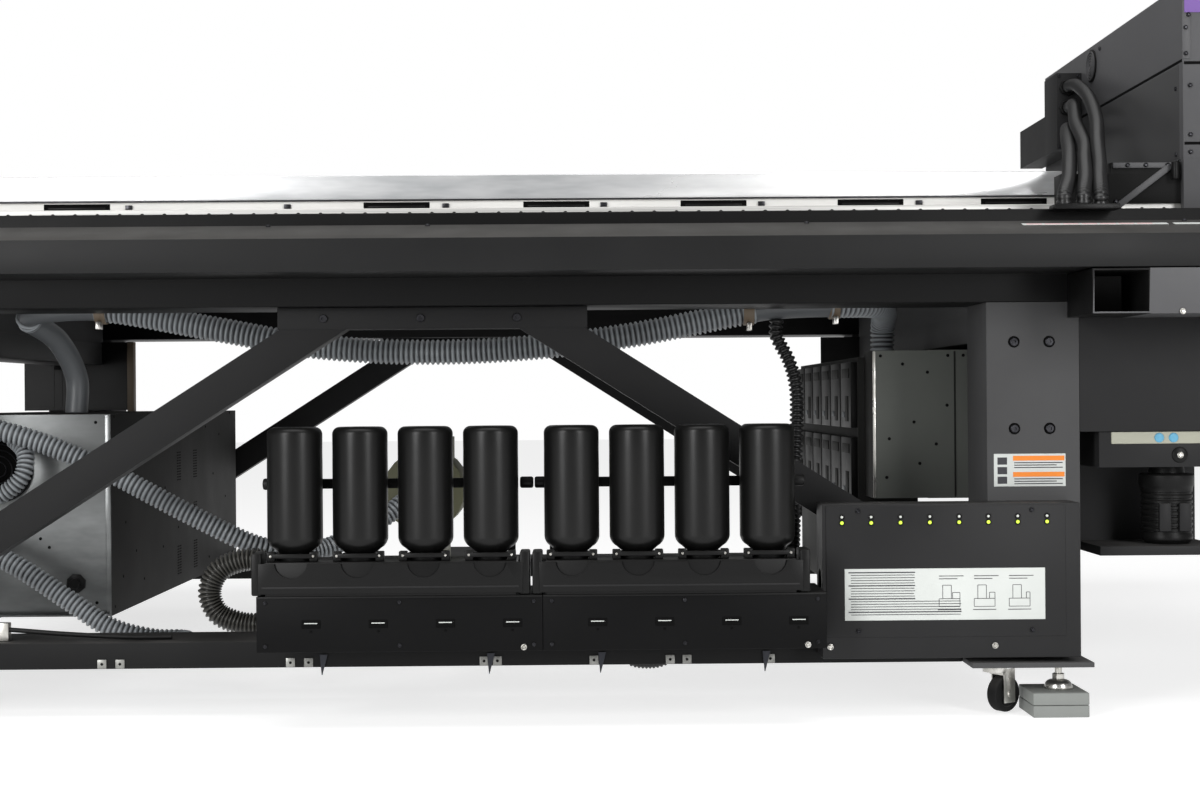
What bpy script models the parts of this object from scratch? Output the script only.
"""Flatbed UV inkjet printer, seen from its ink supply side, as separate named solids.

Metres, +Z up. The origin is on the floor under the middle of the machine; the long table runs
along X, the gantry spans Y, and the ink supply is on the -Y side.
"""

import math

import bmesh
import bpy
from mathutils import Vector

# ---------------------------------------------------------------- driving dimensions
GAP = 0.0003                 # clearance between pieces that touch
HOSE_GAP = 0.0025            # clearance between a hose end and the face it leaves
SHEET = 0.002                # folded sheet metal
HALF_LENGTH = 1.88           # half of the bed's length along X
HALF_DEPTH = 0.975           # half of the depth along Y, over the rail covers

WHEEL_R = 0.030
WHEEL_LIFT = 0.002           # the machine stands on its feet, the wheels just clear the floor
CASTER_CLEAR = 0.0205        # fork crown and bridge between the wheel and the base plate
PLATE_BOTTOM = WHEEL_LIFT + 2 * WHEEL_R + CASTER_CLEAR

LEG_X = 1.0035               # middle of a leg, from the middle of the machine
LEG_WIDTH = 0.155
LEG_Y = 0.75
LEG_DEPTH = 0.15
LEG_WALL = 0.006
LEG_TOP = 0.6822
PLATE_THICK = 0.008
PLATE_HALF_X = 0.0995
PLATE_X = 0.9825
PLATE_FRONT = 0.90
PLATE_BACK = 0.67

BEAM_DEPTH = 0.13            # lower long beams
BEAM_HEIGHT = 0.0445
BEAM_WALL = 0.004
BED_BEAM_INNER = 0.655       # bed beams that carry the rails
BED_BEAM_TOP = 0.8380
CROSS_BOTTOM = 0.62          # cross beams of the end frames, under the table
CROSS_HALF = 0.065
SIDE_TOP = 0.135             # lower side beams of the end frames

TABLE_HALF_X = 1.25
TABLE_HALF_Y = 0.640
TABLE_TOP = 0.924
TABLE_EDGE = 0.0430          # height of the bright table edge
LEDGE_INSET = 0.008

RAIL_Y = 0.6825
RAIL_WIDTH = 0.034
RAIL_HEIGHT = 0.0210

COVER_BOTTOM = 0.730
COVER_FACE_TOP = 0.783
COVER_SLOPE_Y = 0.875
COVER_SLOPE_TOP = 0.8130

BRACE_TOP_X = 0.20           # where a brace's upper edge meets the tie bar
BRACE_TOP_Z = 0.682
BRACE_SLOPE = 0.638
BRACE_FACE = 0.060
BRACE_DEPTH = 0.050
BRACE_Y = 0.775
TIE_HEIGHT = 0.036

BLOCK_X = (0.983, 1.075)
BLOCK_Y = (0.795, 0.895)
BLOCK_HEIGHT = 0.040
FOOT_X = 1.037
FOOT_Y = 0.845
PAD_R = 0.024
PAD_HEIGHT = 0.0097
NUT_R = 0.011
STUD_R = 0.006
STUD_HOLE_R = 0.0068
STUD_TOP = PLATE_BOTTOM + 0.006
NUT_TOP = PLATE_BOTTOM - 0.0165
NUT_HEIGHT = 0.010

CASTER_X = 0.930             # swivel axis
CASTER_Y = 0.8515
CASTER_TURN = math.radians(35.0)
WHEEL_WIDTH = 0.022
TRAIL = 0.020
AXLE_R = 0.005
BORE_R = 0.0054
CHEEK = 0.0025
CHEEK_GAP = 0.001

BOTTLE_R = 0.0443
BOTTLE_TOP = 0.484
BOTTLE_SHOULDER = 0.293
BOTTLE_Y = 0.925
BOTTLE_SPACE = 0.0164         # free space between two bottles
BOTTLE_PITCH = 2 * BOTTLE_R + BOTTLE_SPACE
BOTTLE_LAST = 0.5475          # the bottle nearest to the indicator box
TRAY_STEP = 0.130             # from the left tray's last bottle to the right tray's first
BOTTLES_PER_TRAY = 4
NECK_R = 0.022
NECK_BOTTOM = 0.245
SOCKET_CLEAR = 0.0015

TRAY_BOTTOM = 0.2165
TRAY_TOP = 0.2697
TRAY_MARGIN = 0.041
TRAY_SET_BACK = 0.008
HINGE_BAR_Z = 0.390           # the bar behind the bottles
TRAY_DEPTH = 2 * BOTTLE_R + 0.0194
FASCIA_BOTTOM = 0.1275
FASCIA_TOP = 0.2162
FASCIA_REACH = (0.0555, 0.0465)   # past the left tray's first and the right tray's first bottle
FASCIA_GAP = 0.003                # to the indicator box
FASCIA_FRONT = 0.971

INDICATOR_X = (0.640, 1.061)
INDICATOR_FRONT = 0.895
INDICATOR_Z = (PLATE_BOTTOM + PLATE_THICK + 0.0085, 0.351)

GANTRY_LEFT = 1.292
GANTRY_WIDTH = 0.560
GANTRY_HALF_Y = 0.725
GANTRY_STEP_Y = 0.200        # the housing is wider along X from the front end to here
GANTRY_STEP_X = 0.136        # how far its left face then steps back
GANTRY_BOTTOM = 0.935
GANTRY_TOP = 1.236
SKIRT_BOTTOM = 0.845          # the housing's ends reach down past the rails
SKIRT_THICK = 0.016
TRUCK_X = (1.085, 1.172)      # the gantry's feet on the rails: the low part and where it gets taller
TRUCK_STEP = 0.051
TRUCK_TOP = 0.930
BRIDGE_X = (1.665, 1.800)
BRIDGE_Z = (1.020, 1.180)
UPRIGHT_X = (1.500, 1.810)
UPRIGHT_WIDTH = 0.046
HOOD_SHEET = 0.003

CARRIAGE_X = (1.440, 1.655)
CARRIAGE_Y = (-0.600, -0.300)
CARRIAGE_Z = (0.965, 1.150)
HEAD_DROP = 0.020

STATION_X = (LEG_X + LEG_WIDTH / 2 + 0.0005, 1.850)   # just clear of the right leg
STATION_BOTTOM = 0.465
STATION_BACK = -0.25
MOUTH_X = (1.062, 1.155)      # open end of the cable trough, beside the panel
MOUTH_BOTTOM = 0.655
MOUTH_WALL = 0.003
HANGER_X = (1.115, 1.325)
HANGER_Y = (-0.820, -0.660)
HANGER_PLATE = 0.012
FILTER_X = 1.250
FILTER_Y = -0.750
FILTER_R = 0.046
FILTER_Z = (0.2725, 0.4045)

LEFT_BOX_X = (-1.10, -0.613)
LEFT_BOX_Y = (-0.525, 0.655)
LEFT_BOX_TOP = 0.505
RACK_X = (0.764, 0.875)
RACK_Y = (-0.475, 0.405)
RACK_TOP = 0.600
RACK_SHOW = 0.012             # how much of the rack stands out past the right box's front part
RIGHT_BOX_Y = (-0.575, 0.075)
RIGHT_BOX_Z = (0.342, 0.610)
BLOWER_X = -0.064
BLOWER_Z = 0.347
BLOWER_R = 0.080
MOTOR_R = 0.058
BLOWER_RAIL_REACH = 0.80

HOSE_R = 0.023
SMALL_HOSE_R = 0.019
DRAIN_R = 0.013
CONDUIT_R = 0.013
HOSE_Y = -0.600               # the hoses hang in this plane

JUNCTION_LEFT = 1.240
JUNCTION_Y = (-0.095, 0.005)
JUNCTION_Z = (1.037, 1.196)
JUNCTION_STEP_Y = 0.225
JUNCTION_STEP_TOP = 1.121
TROUGH_Y = -0.850             # cable trough in front of the bed beam
TROUGH_PLATE_X = (1.030, 1.140)
TROUGH_PLATE_Z = (0.832, 0.842)

ROUND = 24                   # sides of the visible round pieces
SMALL_ROUND = 16

# ---------------------------------------------------------------- scene and materials
for old in list(bpy.data.objects):
    bpy.data.objects.remove(old, do_unlink=True)

parts = bpy.data.collections.new("flatbed_printer")
cutters = bpy.data.collections.new("cutters")
bpy.context.scene.collection.children.link(parts)
bpy.context.scene.collection.children.link(cutters)


def material(name, colour, roughness, metallic=0.0):
    made = bpy.data.materials.new(name)
    made.use_nodes = True
    shader = made.node_tree.nodes["Principled BSDF"]
    shader.inputs["Base Color"].default_value = (*colour, 1.0)
    shader.inputs["Roughness"].default_value = roughness
    shader.inputs["Metallic"].default_value = metallic
    return made


black_paint = material("black_paint", (0.035, 0.035, 0.035), 0.5)
grey_paint = material("grey_paint", (0.07, 0.07, 0.07), 0.55)
cabinet_paint = material("cabinet_paint", (0.09, 0.085, 0.078), 0.6)
olive_paint = material("olive_paint", (0.13, 0.13, 0.08), 0.5)
galvanised = material("galvanised", (0.75, 0.76, 0.77), 0.35, 1.0)
bare_steel = material("bare_steel", (0.5, 0.5, 0.5), 0.35, 1.0)
cast_block = material("cast_block", (0.30, 0.31, 0.30), 0.6)
rubber = material("rubber", (0.03, 0.03, 0.03), 0.8)
bottle_plastic = material("bottle_plastic", (0.012, 0.012, 0.012), 0.35)
hose_plastic = material("hose_plastic", (0.25, 0.26, 0.27), 0.5)
black_plastic = material("black_plastic", (0.02, 0.02, 0.02), 0.4)
table_top = material("table_top", (0.6, 0.61, 0.62), 0.4, 1.0)


# ---------------------------------------------------------------- building blocks
def add_object(name, mesh, look, collection=parts):
    made = bpy.data.objects.new(name, mesh)
    if look:
        mesh.materials.append(look)
    collection.objects.link(made)
    return made


def box(name, x, y, z, look, collection=parts, drop=None, origin=None):
    """A box between two values on each axis; drop leaves out the face whose normal is given."""
    low = Vector((min(x), min(y), min(z)))
    high = Vector((max(x), max(y), max(z)))
    origin = Vector(origin) if origin else (low + high) / 2
    mesh = bpy.data.meshes.new(name)
    shape = bmesh.new()
    bmesh.ops.create_cube(shape, size=1.0)
    bmesh.ops.scale(shape, vec=high - low, verts=shape.verts)
    bmesh.ops.translate(shape, vec=(low + high) / 2 - origin, verts=shape.verts)
    if drop:
        shape.normal_update()
        open_side = [face for face in shape.faces if face.normal.dot(Vector(drop)) > 0.9]
        bmesh.ops.delete(shape, geom=open_side, context="FACES_ONLY")
    shape.to_mesh(mesh)
    shape.free()
    made = add_object(name, mesh, look, collection)
    made.location = origin
    return made


def cylinder(name, centre, radius, length, axis, look, collection=parts, sides=ROUND):
    """A cylinder about its centre, along the unit vector axis."""
    mesh = bpy.data.meshes.new(name)
    shape = bmesh.new()
    bmesh.ops.create_cone(shape, cap_ends=True, segments=sides, radius1=radius, radius2=radius, depth=length)
    shape.to_mesh(mesh)
    shape.free()
    mesh.shade_smooth()
    mesh.set_sharp_from_angle(angle=math.radians(40))
    made = add_object(name, mesh, look, collection)
    made.location = centre
    made.rotation_mode = "QUATERNION"
    made.rotation_quaternion = Vector((0, 0, 1)).rotation_difference(Vector(axis))
    return made


def as_cutter(piece):
    piece.hide_render = True
    piece.display_type = "WIRE"
    return piece


def combine(target, pieces, operation):
    """Union or difference of the target with pieces from the cutters collection."""
    for piece in pieces:
        as_cutter(piece)
        step = target.modifiers.new(operation.lower(), "BOOLEAN")
        step.operation = operation
        step.object = piece
    return target


def box_tool(x, y, z):
    return box("tool", x, y, z, None, cutters)


def round_tool(centre, radius, length, axis=(0, 0, 1), sides=ROUND):
    return cylinder("tool", centre, radius, length, axis, None, cutters, sides)


def solidify(piece, thickness):
    step = piece.modifiers.new("sheet", "SOLIDIFY")
    step.thickness = thickness
    step.offset = -1.0
    return piece


def turned(name, profile, sides, look, location, collection=parts):
    """A turned solid about +Z from (radius, height) points that run down its outer side."""
    mesh = bpy.data.meshes.new(name)
    shape = bmesh.new()
    corners = [shape.verts.new((radius, 0, height)) for radius, height in profile]
    for first, second in zip(corners, corners[1:]):
        shape.edges.new((first, second))
    shape.to_mesh(mesh)
    shape.free()
    made = add_object(name, mesh, look, collection)
    made.location = location
    screw = made.modifiers.new("turn", "SCREW")
    screw.steps = sides
    screw.render_steps = sides
    screw.use_merge_vertices = True
    screw.merge_threshold = 0.00001
    screw.use_smooth_shade = True
    return made


def smooth_route(points, spacing):
    """Evenly placed points on a smooth curve through the route's own points."""
    ends = [Vector(point) for point in points]
    ends = [2 * ends[0] - ends[1]] + ends + [2 * ends[-1] - ends[-2]]
    dense = []
    for a, b, c, d in zip(ends, ends[1:], ends[2:], ends[3:]):
        for step in range(24):
            t = step / 24
            dense.append(0.5 * (2 * b + (c - a) * t + (2 * a - 5 * b + 4 * c - d) * t * t
                                + (3 * b - a - 3 * c + d) * t ** 3))
    dense.append(ends[-2])
    lengths = [0.0]
    for first, second in zip(dense, dense[1:]):
        lengths.append(lengths[-1] + (second - first).length)
    count = max(2, round(lengths[-1] / spacing))
    route = []
    for index in range(count + 1):
        wanted = lengths[-1] * index / count
        after = next((i for i, length in enumerate(lengths) if length >= wanted - 1e-9), len(lengths) - 1)
        after = max(after, 1)
        share = (wanted - lengths[after - 1]) / (lengths[after] - lengths[after - 1])
        route.append(dense[after - 1].lerp(dense[after], min(max(share, 0.0), 1.0)))
    return route


def tube(name, points, radius, look, collection=parts):
    """A round hose along a smooth route, with filled ends."""
    curve = bpy.data.curves.new(name, "CURVE")
    curve.dimensions = "3D"
    curve.bevel_depth = radius
    curve.bevel_resolution = 2
    curve.use_fill_caps = True
    route = smooth_route(points, radius * 2.2)
    spline = curve.splines.new("POLY")
    spline.points.add(len(route) - 1)
    for place, point in zip(spline.points, route):
        place.co = (*point, 1.0)
    if look:
        curve.materials.append(look)
    made = bpy.data.objects.new(name, curve)
    collection.objects.link(made)
    return made


def meshed(curve_object):
    """The mesh of a curve object, with its end caps welded, in place of the curve."""
    bpy.context.view_layer.update()
    seen = curve_object.evaluated_get(bpy.context.evaluated_depsgraph_get())
    mesh = bpy.data.meshes.new_from_object(seen)
    shape = bmesh.new()
    shape.from_mesh(mesh)
    bmesh.ops.remove_doubles(shape, verts=shape.verts, dist=0.00001)
    shape.to_mesh(mesh)
    shape.free()
    name = curve_object.name
    look = curve_object.data.materials[0] if curve_object.data.materials else None
    place = curve_object.matrix_world.copy()
    collection = curve_object.users_collection[0]
    bpy.data.objects.remove(curve_object, do_unlink=True)
    mesh.materials.clear()
    made = add_object(name, mesh, look, collection)
    made.matrix_world = place
    return made


def long_box(name, x, y, z, wall, look):
    """A box tube along X, open at both ends."""
    made = box(name, x, y, z, look)
    inner = box_tool((min(x) - 0.01, max(x) + 0.01), (min(y) + wall, max(y) - wall), (min(z) + wall, max(z) - wall))
    return combine(made, [inner], "DIFFERENCE")


def cabinet(name, x, y, z, wall, look, gland_side):
    """A sheet metal cabinet with a cable opening in the side that gland_side points to."""
    made = box(name, x, y, z, look)
    middle = Vector(((x[0] + x[1]) / 2, (y[0] + y[1]) / 2, (z[0] + z[1]) / 2))
    half = Vector((abs(x[1] - x[0]) / 2, abs(y[1] - y[0]) / 2, abs(z[1] - z[0]) / 2))
    inner = box_tool((middle.x - half.x + wall, middle.x + half.x - wall),
                     (middle.y - half.y + wall, middle.y + half.y - wall),
                     (middle.z - half.z + wall, middle.z + half.z - wall))
    side = Vector(gland_side)
    at = middle + Vector((side.x * half.x, side.y * half.y, side.z * half.z))
    gland = round_tool(at, 0.018, wall * 6, side, SMALL_ROUND)
    return combine(made, [inner, gland], "DIFFERENCE")


SIDES = (("front", -1), ("rear", 1))
ENDS = (("left", -1), ("right", 1))


# ---------------------------------------------------------------- welded end frames
def end_frame(name, end):
    """Two hollow legs on base plates, a lower side beam and a tall cross beam, welded together."""
    leg_x = (end * (LEG_X - LEG_WIDTH / 2), end * (LEG_X + LEG_WIDTH / 2))
    plate_top = PLATE_BOTTOM + PLATE_THICK
    half_width = LEG_WIDTH / 2
    frame = box(name, leg_x, (-LEG_Y - LEG_DEPTH / 2, -LEG_Y + LEG_DEPTH / 2),
                (plate_top - 0.002, LEG_TOP), grey_paint)
    inside = LEG_Y - LEG_DEPTH / 2
    added = [
        box_tool(leg_x, (LEG_Y - LEG_DEPTH / 2, LEG_Y + LEG_DEPTH / 2), (plate_top - 0.002, LEG_TOP)),
        box_tool((end * (LEG_X - half_width + 0.012), end * (LEG_X + half_width - 0.012)),
                 (-inside - 0.020, inside + 0.020), (plate_top - 0.001, SIDE_TOP)),
        box_tool((end * (LEG_X - CROSS_HALF), end * (LEG_X + CROSS_HALF)),
                 (-inside - 0.020, inside + 0.020), (CROSS_BOTTOM, LEG_TOP - 0.010)),
        box_tool((end * (LEG_X - CROSS_HALF + 0.001), end * (LEG_X + CROSS_HALF - 0.001)),
                 (-BED_BEAM_INNER + GAP, BED_BEAM_INNER - GAP), (LEG_TOP - 0.020, BED_BEAM_TOP)),
    ]
    wall = LEG_WALL
    removed = [
        box_tool((end * (LEG_X - CROSS_HALF + wall), end * (LEG_X + CROSS_HALF - wall)),
                 (-BED_BEAM_INNER + wall, BED_BEAM_INNER - wall), (CROSS_BOTTOM + wall, BED_BEAM_TOP - wall)),
        box_tool((end * (LEG_X - CROSS_HALF + 2 * wall), end * (LEG_X + CROSS_HALF - 2 * wall)),
                 (-inside - 0.025, inside + 0.025), (CROSS_BOTTOM + 2 * wall, LEG_TOP - 0.010 - 2 * wall)),
        box_tool((end * (LEG_X - half_width + 0.012 + wall), end * (LEG_X + half_width - 0.012 - wall)),
                 (-inside - 0.025, inside + 0.025), (plate_top + wall, SIDE_TOP - wall)),
    ]
    for side in (-1, 1):
        added.append(box_tool((end * (PLATE_X - PLATE_HALF_X), end * (PLATE_X + PLATE_HALF_X)),
                              (side * PLATE_FRONT, side * PLATE_BACK), (PLATE_BOTTOM, plate_top)))
        removed.append(box_tool((end * (LEG_X - half_width + LEG_WALL), end * (LEG_X + half_width - LEG_WALL)),
                                (side * (LEG_Y - LEG_DEPTH / 2 + LEG_WALL), side * (LEG_Y + LEG_DEPTH / 2 - LEG_WALL)),
                                (plate_top + 0.004, LEG_TOP + 0.02)))
        removed.append(round_tool((end * FOOT_X, side * FOOT_Y, PLATE_BOTTOM), STUD_HOLE_R, 0.03,
                                  sides=SMALL_ROUND))
    combine(frame, added, "UNION")
    return combine(frame, removed, "DIFFERENCE")


def frame_pieces():
    for end_name, end in ENDS:
        end_frame("end_frame_" + end_name, end)
    beam_end = PLATE_X - PLATE_HALF_X - GAP
    for side_name, side in SIDES:
        outer = LEG_Y + LEG_DEPTH / 2
        long_box("lower_beam_" + side_name, (-beam_end, beam_end), sorted((side * outer, side * (outer - BEAM_DEPTH))),
                 (PLATE_BOTTOM, PLATE_BOTTOM + BEAM_HEIGHT), BEAM_WALL, grey_paint)
        long_box("bed_beam_" + side_name, (-HALF_LENGTH, HALF_LENGTH), sorted((side * outer, side * BED_BEAM_INNER)),
                 (LEG_TOP + GAP, BED_BEAM_TOP), LEG_WALL, black_paint)
        bracing("bracing_" + side_name, side)


def bracing(name, side):
    """Two sloping channels and the tie bar that joins their upper ends, under the bed beam."""
    half_depth = BRACE_DEPTH / 2
    y = (side * BRACE_Y - half_depth, side * BRACE_Y + half_depth)
    tie = box(name, (-BRACE_TOP_X - 0.06, BRACE_TOP_X + 0.06), y, (BRACE_TOP_Z - TIE_HEIGHT, BRACE_TOP_Z - GAP), black_paint)
    foot_x = LEG_X - LEG_WIDTH / 2 - GAP
    angle = math.atan(BRACE_SLOPE)
    run = foot_x - BRACE_TOP_X + 0.12
    length = run / math.cos(angle)
    braces = []
    for end in (-1, 1):
        brace = box_tool((-length / 2, length / 2), (y[0] + 0.001, y[1] - 0.001), (-BRACE_FACE / 2, BRACE_FACE / 2))
        middle_x = BRACE_TOP_X - 0.05 + run / 2
        middle_z = BRACE_TOP_Z - (middle_x - BRACE_TOP_X) * BRACE_SLOPE - BRACE_FACE / 2 / math.cos(angle)
        brace.location = (end * middle_x, side * BRACE_Y, middle_z)
        brace.rotation_euler = (0, end * angle, 0)
        braces.append(brace)
    combine(tie, braces, "UNION")
    past = 0.30
    trims = [
        box_tool((-foot_x - past, -foot_x), (y[0] - 0.01, y[1] + 0.01), (0.0, 1.0)),
        box_tool((foot_x, foot_x + past), (y[0] - 0.01, y[1] + 0.01), (0.0, 1.0)),
        box_tool((-1.0, 1.0), (y[0] - 0.01, y[1] + 0.01), (BRACE_TOP_Z - 0.0002, BRACE_TOP_Z + 0.3)),
    ]
    return combine(tie, trims, "DIFFERENCE")


# ---------------------------------------------------------------- bed: table, rails and covers
def bed_pieces():
    table = box("vacuum_table", (-TABLE_HALF_X, TABLE_HALF_X), (-TABLE_HALF_Y, TABLE_HALF_Y),
                (TABLE_TOP - TABLE_EDGE, TABLE_TOP), table_top)
    ledge = box_tool((-TABLE_HALF_X + LEDGE_INSET, TABLE_HALF_X - LEDGE_INSET),
                     (-TABLE_HALF_Y + LEDGE_INSET, TABLE_HALF_Y - LEDGE_INSET),
                     (BED_BEAM_TOP + GAP, TABLE_TOP - TABLE_EDGE + 0.004))
    plenum = box_tool((-TABLE_HALF_X + 0.03, TABLE_HALF_X - 0.03), (-TABLE_HALF_Y + 0.03, TABLE_HALF_Y - 0.03),
                      (BED_BEAM_TOP + GAP + 0.004, TABLE_TOP - 0.010))
    ports = [round_tool((x, 0, BED_BEAM_TOP), 0.03, 0.03) for x in (-0.7, 0.7)]
    combine(table, [ledge], "UNION")
    combine(table, [plenum, *ports], "DIFFERENCE")
    for side_name, side in SIDES:
        box("rail_" + side_name, (-HALF_LENGTH, HALF_LENGTH),
            sorted((side * (RAIL_Y - RAIL_WIDTH / 2), side * (RAIL_Y + RAIL_WIDTH / 2))),
            (BED_BEAM_TOP + GAP, BED_BEAM_TOP + GAP + RAIL_HEIGHT), bare_steel)
        rail_cover("rail_cover_" + side_name, side)


def rail_cover(name, side):
    """Folded sheet along the bed beam: bottom flange, upright face and sloping top."""
    back = LEG_Y + LEG_DEPTH / 2 + GAP
    outline = [(back, COVER_BOTTOM), (HALF_DEPTH, COVER_BOTTOM), (HALF_DEPTH, COVER_FACE_TOP),
               (COVER_SLOPE_Y, COVER_SLOPE_TOP)]
    mesh = bpy.data.meshes.new(name)
    shape = bmesh.new()
    rows = [[shape.verts.new((x, side * y, z)) for y, z in outline] for x in (-HALF_LENGTH, HALF_LENGTH)]
    for index in range(len(outline) - 1):
        corners = [rows[0][index], rows[1][index], rows[1][index + 1], rows[0][index + 1]]
        shape.faces.new(corners if side < 0 else corners[::-1])
    shape.to_mesh(mesh)
    shape.free()
    return solidify(add_object(name, mesh, black_paint), SHEET)


# ---------------------------------------------------------------- right-hand end of the bed
def station_pieces():
    back = -(LEG_Y + LEG_DEPTH / 2 + GAP)
    mouth_z = (MOUTH_BOTTOM, COVER_BOTTOM - SHEET - GAP)
    panel_x = (MOUTH_X[1] - 0.001, HALF_LENGTH)
    panel = cabinet("station_panel", panel_x, (-HALF_DEPTH, back), mouth_z, SHEET, cabinet_paint, (1, 0, 0))
    mouth = box_tool(MOUTH_X, (-HALF_DEPTH, back), (mouth_z[0] + 0.0005, mouth_z[1] - 0.0005))
    inner = box_tool((MOUTH_X[0] + MOUTH_WALL, MOUTH_X[1] - MOUTH_WALL), (-HALF_DEPTH - 0.01, back - MOUTH_WALL),
                     (mouth_z[0] + 0.0005 + MOUTH_WALL, mouth_z[1] - 0.0005 - MOUTH_WALL))
    combine(panel, [mouth], "UNION")
    combine(panel, [inner], "DIFFERENCE")
    cabinet("station_housing", STATION_X, (-(LEG_Y + LEG_DEPTH / 2), STATION_BACK),
            (STATION_BOTTOM, LEG_TOP), SHEET, black_paint, (0, 1, 0))
    x, y = HANGER_X, HANGER_Y
    hanger = box("filter_hanger", x, y, (FILTER_Z[1] + GAP, STATION_BOTTOM - GAP), black_paint)
    plate = box_tool(x, (y[1] - HANGER_PLATE, y[1]), (FILTER_Z[0] - 0.016, FILTER_Z[1] + 0.010))
    shelf = box_tool((x[0] + 0.001, x[1] - 0.001), (y[0] + 0.001, y[1] - 0.001),
                     (FILTER_Z[0] - 0.0155, FILTER_Z[0] - GAP))
    combine(hanger, [plate, shelf], "UNION")
    height = FILTER_Z[1] - FILTER_Z[0]
    profile = [(0, height), (FILTER_R * 0.62, height), (FILTER_R * 0.66, height - 0.012), (FILTER_R, height - 0.014),
               (FILTER_R, height - 0.034), (FILTER_R * 0.93, height - 0.037), (FILTER_R * 0.93, 0.012),
               (FILTER_R * 0.80, 0), (0, 0)]
    turned("filter_canister", profile, ROUND, black_plastic, (FILTER_X, FILTER_Y, FILTER_Z[0]))


# ---------------------------------------------------------------- feet and casters
def foot_pieces():
    for side_name, side in SIDES:
        for end_name, end in ENDS:
            place = side_name + "_" + end_name
            box("foot_block_" + place, (end * BLOCK_X[0], end * BLOCK_X[1]), (side * BLOCK_Y[0], side * BLOCK_Y[1]),
                (0, BLOCK_HEIGHT), cast_block)
            levelling_foot("levelling_foot_" + place, end * FOOT_X, side * FOOT_Y)
            caster("caster_" + place, end, side)


def levelling_foot(name, x, y):
    """Pad, lock nut and stud, turned about the stud's axis."""
    pad_bottom = BLOCK_HEIGHT + GAP
    nut_bottom = NUT_TOP - NUT_HEIGHT
    pad_top = pad_bottom + PAD_HEIGHT
    profile = [(0, STUD_TOP), (STUD_R, STUD_TOP), (STUD_R, NUT_TOP), (NUT_R, NUT_TOP), (NUT_R, nut_bottom),
               (STUD_R * 1.3, nut_bottom), (STUD_R * 1.6, nut_bottom - 0.003), (PAD_R, pad_top), (PAD_R, pad_bottom),
               (0, pad_bottom)]
    return turned(name, [(radius, height - pad_bottom) for radius, height in profile], SMALL_ROUND, bare_steel,
                  (x, y, pad_bottom))


def caster(name, end, side):
    """A swivel fork with its axle, and the wheel that turns on it."""
    direction = Vector((end * math.cos(CASTER_TURN), -side * math.sin(CASTER_TURN), 0))
    axle = Vector((-direction.y, direction.x, 0))
    pivot = Vector((end * CASTER_X, side * CASTER_Y, 0))
    centre = pivot + direction * TRAIL + Vector((0, 0, WHEEL_R + WHEEL_LIFT))
    crown_top = PLATE_BOTTOM - 0.0005
    crown_bottom = crown_top - 0.012
    fork = cylinder(name + "_fork", pivot + Vector((0, 0, (crown_top + crown_bottom) / 2)), 0.020,
                    crown_top - crown_bottom, (0, 0, 1), galvanised, sides=SMALL_ROUND)
    turn = math.atan2(direction.y, direction.x)
    inner = WHEEL_WIDTH / 2 + CHEEK_GAP
    added = []
    for cheek_side in (-1, 1):
        cheek = box_tool((-0.013, 0.013), (-CHEEK / 2, CHEEK / 2), (-0.014, crown_bottom + 0.004 - centre.z))
        cheek.location = centre + axle * cheek_side * (inner + CHEEK / 2)
        cheek.location.z = centre.z + (crown_bottom + 0.004 - centre.z - 0.014) / 2
        cheek.rotation_euler = (0, 0, turn)
        added.append(cheek)
    bridge = box_tool((-0.013, 0.013), (-inner - CHEEK, inner + CHEEK), (-0.0035, 0.0035))
    bridge.location = centre + Vector((0, 0, WHEEL_R + 0.0025 + 0.0035)) - direction * 0.004
    bridge.rotation_euler = (0, 0, turn)
    added.append(bridge)
    pin = round_tool(centre, AXLE_R, 2 * (inner + CHEEK) + 0.005, axle, SMALL_ROUND)
    added.append(pin)
    combine(fork, added, "UNION")
    half = WHEEL_WIDTH / 2
    profile = [(BORE_R, half), (WHEEL_R * 0.35, half), (WHEEL_R * 0.42, half - 0.003), (WHEEL_R * 0.70, half - 0.003),
               (WHEEL_R * 0.74, half - 0.001), (WHEEL_R * 0.94, half - 0.001), (WHEEL_R, half - 0.004)]
    profile = profile + [(radius, -height) for radius, height in reversed(profile)] + [profile[0]]
    wheel = turned(name + "_wheel", profile, ROUND, rubber, centre)
    wheel.rotation_mode = "QUATERNION"
    wheel.rotation_quaternion = Vector((0, 0, 1)).rotation_difference(axle)


# ---------------------------------------------------------------- ink supply
def bottle_places():
    """X of every bottle, tray by tray, counted back from the last one."""
    tray_run = BOTTLE_PITCH * (BOTTLES_PER_TRAY - 1)
    right_first = BOTTLE_LAST - tray_run
    left_first = right_first - TRAY_STEP - tray_run
    return [[first + BOTTLE_PITCH * index for index in range(BOTTLES_PER_TRAY)] for first in (left_first, right_first)]


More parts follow.
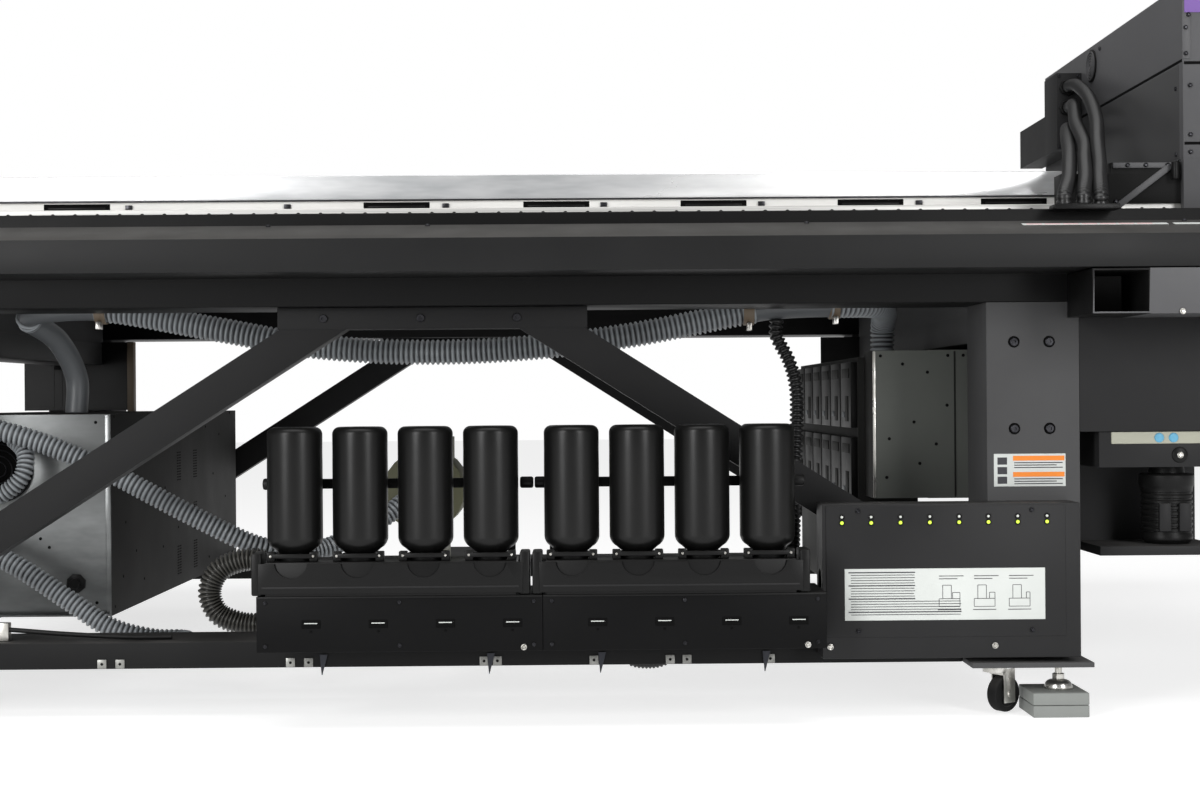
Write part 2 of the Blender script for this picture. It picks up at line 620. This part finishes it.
def ink_pieces():
    y_back = -(LEG_Y + LEG_DEPTH / 2 + GAP)
    firsts = [places[0] for places in bottle_places()]
    fascia_edges = (firsts[0] - FASCIA_REACH[0], firsts[1] - FASCIA_REACH[1], INDICATOR_X[0] - FASCIA_GAP)
    for index, (places, end) in enumerate(zip(bottle_places(), ("left", "right"))):
        tray_x = (places[0] - TRAY_MARGIN, places[-1] + TRAY_MARGIN)
        tray_y = (-BOTTLE_Y - TRAY_DEPTH / 2 + TRAY_SET_BACK, -BOTTLE_Y + TRAY_DEPTH / 2 + TRAY_SET_BACK)
        tray = box("ink_tray_" + end, tray_x, tray_y, (TRAY_BOTTOM, TRAY_TOP), black_paint)
        bar = box_tool((tray_x[0], tray_x[1]), (tray_y[1] - 0.010, tray_y[1] - 0.001),
                       (HINGE_BAR_Z - 0.008, HINGE_BAR_Z + 0.008))
        posts = [box_tool((x - 0.006, x + 0.006), (tray_y[1] - 0.009, tray_y[1] - 0.002), (TRAY_TOP - 0.01, HINGE_BAR_Z))
                 for x in (tray_x[0] + 0.010, tray_x[1] - 0.010)]
        combine(tray, [bar, *posts], "UNION")
        socket_depth = TRAY_TOP - NECK_BOTTOM + GAP
        combine(tray, [round_tool((x, -BOTTLE_Y, TRAY_TOP), NECK_R + SOCKET_CLEAR, 2 * socket_depth) for x in places],
                "DIFFERENCE")
        fascia_x = (fascia_edges[index], fascia_edges[index + 1] - 2 * GAP)
        fascia = box("ink_fascia_" + end, fascia_x, (-FASCIA_FRONT, y_back), (FASCIA_BOTTOM, FASCIA_TOP), black_paint,
                     drop=(0, 1, 0))
        solidify(fascia, SHEET)
        for number, x in enumerate(places):
            bottle("ink_bottle_" + str(index * BOTTLES_PER_TRAY + number + 1), x)


def bottle(name, x):
    """An upturned one-litre bottle, its capped neck down in the tray's socket."""
    height = BOTTLE_TOP - NECK_BOTTOM
    shoulder = BOTTLE_SHOULDER - NECK_BOTTOM
    profile = [(0, height), (BOTTLE_R - 0.010, height), (BOTTLE_R - 0.003, height - 0.003), (BOTTLE_R, height - 0.010),
               (BOTTLE_R, shoulder + 0.010), (BOTTLE_R - 0.008, shoulder - 0.004), (NECK_R, shoulder - 0.016),
               (NECK_R, 0), (0, 0)]
    return turned(name, profile, ROUND, bottle_plastic, (x, -BOTTLE_Y, NECK_BOTTOM))


# ---------------------------------------------------------------- electrics, blower and hoses
def cabinet_pieces():
    front = -(LEG_Y + LEG_DEPTH / 2 + GAP)
    cabinet("indicator_box", INDICATOR_X, (-INDICATOR_FRONT, front), INDICATOR_Z, SHEET, black_paint, (-1, 0, 0))
    cabinet("power_box_left", LEFT_BOX_X, LEFT_BOX_Y, (SIDE_TOP + GAP, LEFT_BOX_TOP), SHEET, cabinet_paint, (-1, 0, 0))
    right_x = (RACK_X[1], LEG_X + LEG_WIDTH / 2 - 0.001)
    right = cabinet("power_box_right", right_x, RIGHT_BOX_Y, RIGHT_BOX_Z, SHEET, cabinet_paint, (1, 0, 0))
    nose = box_tool((RACK_X[0] + RACK_SHOW, right_x[1] - 0.0005), (RIGHT_BOX_Y[0] - 0.0001, RACK_Y[0] - GAP),
                    (RIGHT_BOX_Z[0] + 0.0005, RIGHT_BOX_Z[1] - 0.0005))
    hollow_z = (RIGHT_BOX_Z[0] + 2 * SHEET, RIGHT_BOX_Z[1] - 2 * SHEET)
    hollow = box_tool((RACK_X[0] + RACK_SHOW + SHEET, right_x[1] - 2 * SHEET),
                      (RIGHT_BOX_Y[0] + SHEET, RACK_Y[0] - GAP - SHEET), hollow_z)
    through = box_tool((right_x[0] + 2 * SHEET, right_x[1] - 3 * SHEET),
                       (RIGHT_BOX_Y[0] + 2 * SHEET, RACK_Y[0] + 0.02), (hollow_z[0] + 0.0005, hollow_z[1] - 0.0005))
    combine(right, [nose], "UNION")
    combine(right, [hollow, through], "DIFFERENCE")
    cabinet("module_rack", (RACK_X[0], RACK_X[1] - GAP), RACK_Y, (SIDE_TOP, RACK_TOP), SHEET, black_paint, (0, 1, 0))
    rail_bottom = PLATE_BOTTOM + BEAM_HEIGHT + GAP
    rail_top = rail_bottom + 0.023
    box("blower_rail", (BLOWER_X - 0.050, BLOWER_X + 0.050), (-BLOWER_RAIL_REACH, BLOWER_RAIL_REACH),
        (rail_bottom, rail_top), grey_paint)
    blower = cylinder("vacuum_blower", (BLOWER_X, -0.20, BLOWER_Z), BLOWER_R, 0.16, (0, 1, 0), olive_paint)
    added = [
        round_tool((BLOWER_X, -0.03, BLOWER_Z), MOTOR_R, 0.22, (0, 1, 0)),
        box_tool((BLOWER_X - 0.030, BLOWER_X + 0.030), (-0.24, 0.03), (rail_top + GAP, BLOWER_Z - 0.047)),
        box_tool((BLOWER_X - 0.052, BLOWER_X + 0.052), (-0.26, -0.14), (BLOWER_Z + 0.053, BLOWER_Z + 0.105)),
    ]
    combine(blower, added, "UNION")


def hose_pieces():
    box_top = LEFT_BOX_TOP + HOSE_GAP
    suction = [(-0.690, -0.470, box_top), (-0.690, -0.470, 0.575), (-0.712, -0.510, 0.640), (-0.745, -0.575, 0.678),
               (-0.700, HOSE_Y, 0.690), (-0.590, HOSE_Y, 0.690), (-0.400, HOSE_Y, 0.655), (-0.220, HOSE_Y, 0.623),
               (-0.034, HOSE_Y, 0.612), (0.150, HOSE_Y, 0.618), (0.340, HOSE_Y, 0.640), (0.550, HOSE_Y, 0.680),
               (0.620, HOSE_Y, 0.688), (0.700, HOSE_Y, 0.690), (0.775, -0.560, 0.692), (0.815, -0.470, 0.686),
               (0.820, -0.420, 0.660), (0.820, -0.415, RACK_TOP + HOSE_GAP)]
    tube("suction_hose", suction, HOSE_R, hose_plastic)
    drain_top = 0.684 - HOSE_R - 2 * HOSE_GAP
    beam_top = PLATE_BOTTOM + BEAM_HEIGHT + HOSE_GAP
    drain = [(0.600, HOSE_Y, drain_top), (0.600, HOSE_Y, 0.635), (0.622, HOSE_Y, 0.590), (0.634, HOSE_Y, 0.540),
             (0.634, HOSE_Y, 0.470), (0.630, -0.605, 0.400), (0.622, -0.645, 0.290), (0.610, -0.715, 0.205),
             (0.608, -0.735, 0.170), (0.608, -0.735, beam_top)]
    tube("drain_hose", drain, DRAIN_R, black_plastic)
    box_front = LEFT_BOX_Y[0] - HOSE_GAP
    feed = [(-0.860, box_front, 0.490), (-0.860, -0.572, 0.490), (-0.835, -0.604, 0.488), (-0.780, -0.612, 0.476),
            (-0.700, -0.608, 0.450), (-0.600, -0.600, 0.404), (-0.450, -0.590, 0.322), (-0.330, -0.560, 0.262),
            (-0.240, -0.480, 0.250), (-0.150, -0.410, 0.290), (-0.098, -0.370, 0.328), (-0.090, -0.335, 0.335),
            (-0.090, -0.280 - HOSE_GAP, 0.335)]
    tube("feed_hose", feed, SMALL_HOSE_R, hose_plastic)
    beam_back = -(LEG_Y + LEG_DEPTH / 2 - BEAM_DEPTH) + HOSE_GAP
    waste = [(-0.830, box_front, 0.270), (-0.830, -0.572, 0.270), (-0.808, -0.603, 0.262), (-0.740, -0.615, 0.226),
             (-0.660, -0.618, 0.172), (-0.590, -0.620, 0.126), (-0.520, -0.618, 0.106), (-0.470, -0.624, 0.104),
             (-0.450, -0.645, 0.104), (-0.450, beam_back, 0.104)]
    tube("waste_hose", waste, SMALL_HOSE_R, hose_plastic)


# ---------------------------------------------------------------- gantry and print carriage
def gantry_pieces():
    right = GANTRY_LEFT + GANTRY_WIDTH
    hood = box("gantry_hood", (GANTRY_LEFT, right), (-GANTRY_HALF_Y, GANTRY_STEP_Y), (GANTRY_BOTTOM, GANTRY_TOP),
               cabinet_paint)
    rear = box_tool((GANTRY_LEFT + GANTRY_STEP_X, right - 0.0001), (GANTRY_STEP_Y - 0.05, GANTRY_HALF_Y),
                    (GANTRY_BOTTOM + 0.0001, GANTRY_TOP - 0.0001))
    sheet = HOOD_SHEET
    inside = GANTRY_HALF_Y - SKIRT_THICK - 0.0004
    front_space = box_tool((GANTRY_LEFT + sheet, right - sheet), (-inside, GANTRY_STEP_Y - sheet),
                           (GANTRY_BOTTOM - 0.2, GANTRY_TOP - sheet))
    rear_space = box_tool((GANTRY_LEFT + GANTRY_STEP_X + sheet, right - sheet - 0.0001), (GANTRY_STEP_Y - 0.1, inside),
                          (GANTRY_BOTTOM - 0.21, GANTRY_TOP - sheet - 0.0001))
    skirts = [
        box_tool((GANTRY_LEFT + 0.0002, right - 0.0002), (-GANTRY_HALF_Y + 0.0002, -GANTRY_HALF_Y + SKIRT_THICK),
                 (SKIRT_BOTTOM, GANTRY_BOTTOM + 0.05)),
        box_tool((GANTRY_LEFT + GANTRY_STEP_X + 0.0002, right - 0.0002),
                 (GANTRY_HALF_Y - SKIRT_THICK, GANTRY_HALF_Y - 0.0002), (SKIRT_BOTTOM, GANTRY_BOTTOM + 0.05)),
    ]
    combine(hood, [rear, *skirts], "UNION")
    combine(hood, [front_space, rear_space], "DIFFERENCE")
    upright_low = BED_BEAM_TOP + GAP + RAIL_HEIGHT + GAP
    upright_y = (RAIL_Y - UPRIGHT_WIDTH / 2, RAIL_Y + UPRIGHT_WIDTH / 2)
    bridge = box("gantry_bridge", BRIDGE_X, (-RAIL_Y, RAIL_Y), BRIDGE_Z, galvanised)
    inner = box_tool((BRIDGE_X[0] + 0.008, BRIDGE_X[1] - 0.008), (-RAIL_Y - 0.05, RAIL_Y + 0.05),
                     (BRIDGE_Z[0] + 0.008, BRIDGE_Z[1] - 0.008))
    uprights = [box_tool(UPRIGHT_X, (side * upright_y[0], side * upright_y[1]), (upright_low, BRIDGE_Z[1] - 0.002))
                for side in (-1, 1)]
    trucks = []
    for side in (-1, 1):
        y = (side * upright_y[0], side * upright_y[1])
        trucks.append(box_tool((TRUCK_X[0], UPRIGHT_X[0] + 0.02), (y[0], y[1] - side * 0.0002),
                               (upright_low + 0.0001, upright_low + TRUCK_STEP)))
        trucks.append(box_tool((TRUCK_X[1], UPRIGHT_X[0] + 0.03), (y[0] + side * 0.0002, y[1] - side * 0.0004),
                               (upright_low + 0.0002, TRUCK_TOP)))
    combine(bridge, [*uprights, *trucks], "UNION")
    combine(bridge, [inner], "DIFFERENCE")
    left = GANTRY_LEFT - GAP
    junction = box("junction_box", (JUNCTION_LEFT, left), JUNCTION_Y, JUNCTION_Z, black_paint)
    step = box_tool((JUNCTION_LEFT + 0.001, left - 0.001), (JUNCTION_Y[1] - 0.001, JUNCTION_STEP_Y),
                    (JUNCTION_Z[0] + 0.001, JUNCTION_STEP_TOP))
    combine(junction, [step], "UNION")
    conduit_pieces()
    carriage = cabinet("print_carriage", CARRIAGE_X, CARRIAGE_Y, CARRIAGE_Z, 2 * SHEET, black_paint, (1, 0, 0))
    head = box_tool((CARRIAGE_X[0] + 0.03, CARRIAGE_X[1] - 0.06), (CARRIAGE_Y[0] + 0.03, CARRIAGE_Y[1] - 0.03),
                    (CARRIAGE_Z[0] - HEAD_DROP, CARRIAGE_Z[0] + SHEET))
    combine(carriage, [head], "UNION")


def conduit_pieces():
    """Three conduits from the junction box, held together by the plate over the cable trough."""
    start_y = JUNCTION_Y[0] - HOSE_GAP
    plate_z = TROUGH_PLATE_Z
    plate = box("conduits", TROUGH_PLATE_X, (TROUGH_Y - 0.022, TROUGH_Y + 0.020), plate_z, black_plastic)
    runs = []
    for height, middle, drop_x in (
            (1.165, [(1.256, -0.200, 1.150), (1.232, -0.360, 1.100), (1.200, -0.520, 1.035), (1.168, -0.640, 0.972),
                     (1.145, -0.730, 0.925), (1.125, -0.800, 0.888)], 1.112),
            (1.1225, [(1.250, -0.180, 1.116), (1.228, -0.270, 1.095), (1.190, -0.420, 1.042), (1.155, -0.600, 0.978),
                      (1.128, -0.700, 0.935), (1.104, -0.790, 0.893)], 1.084),
            (1.070, [(1.243, -0.180, 1.066), (1.205, -0.300, 1.048), (1.160, -0.470, 1.005), (1.128, -0.600, 0.965),
                     (1.104, -0.690, 0.932), (1.078, -0.780, 0.890)], 1.052)):
        route = [(1.262, start_y, height), (1.262, -0.125, height), *middle,
                 (drop_x, TROUGH_Y, plate_z[1] + 0.016), (drop_x, TROUGH_Y, plate_z[0] + 0.004)]
        run = meshed(tube("tool", route, CONDUIT_R, None, cutters))
        runs.append(run)
    combine(plate, runs, "UNION")


frame_pieces()
bed_pieces()
station_pieces()
foot_pieces()
ink_pieces()
cabinet_pieces()
hose_pieces()
gantry_pieces()
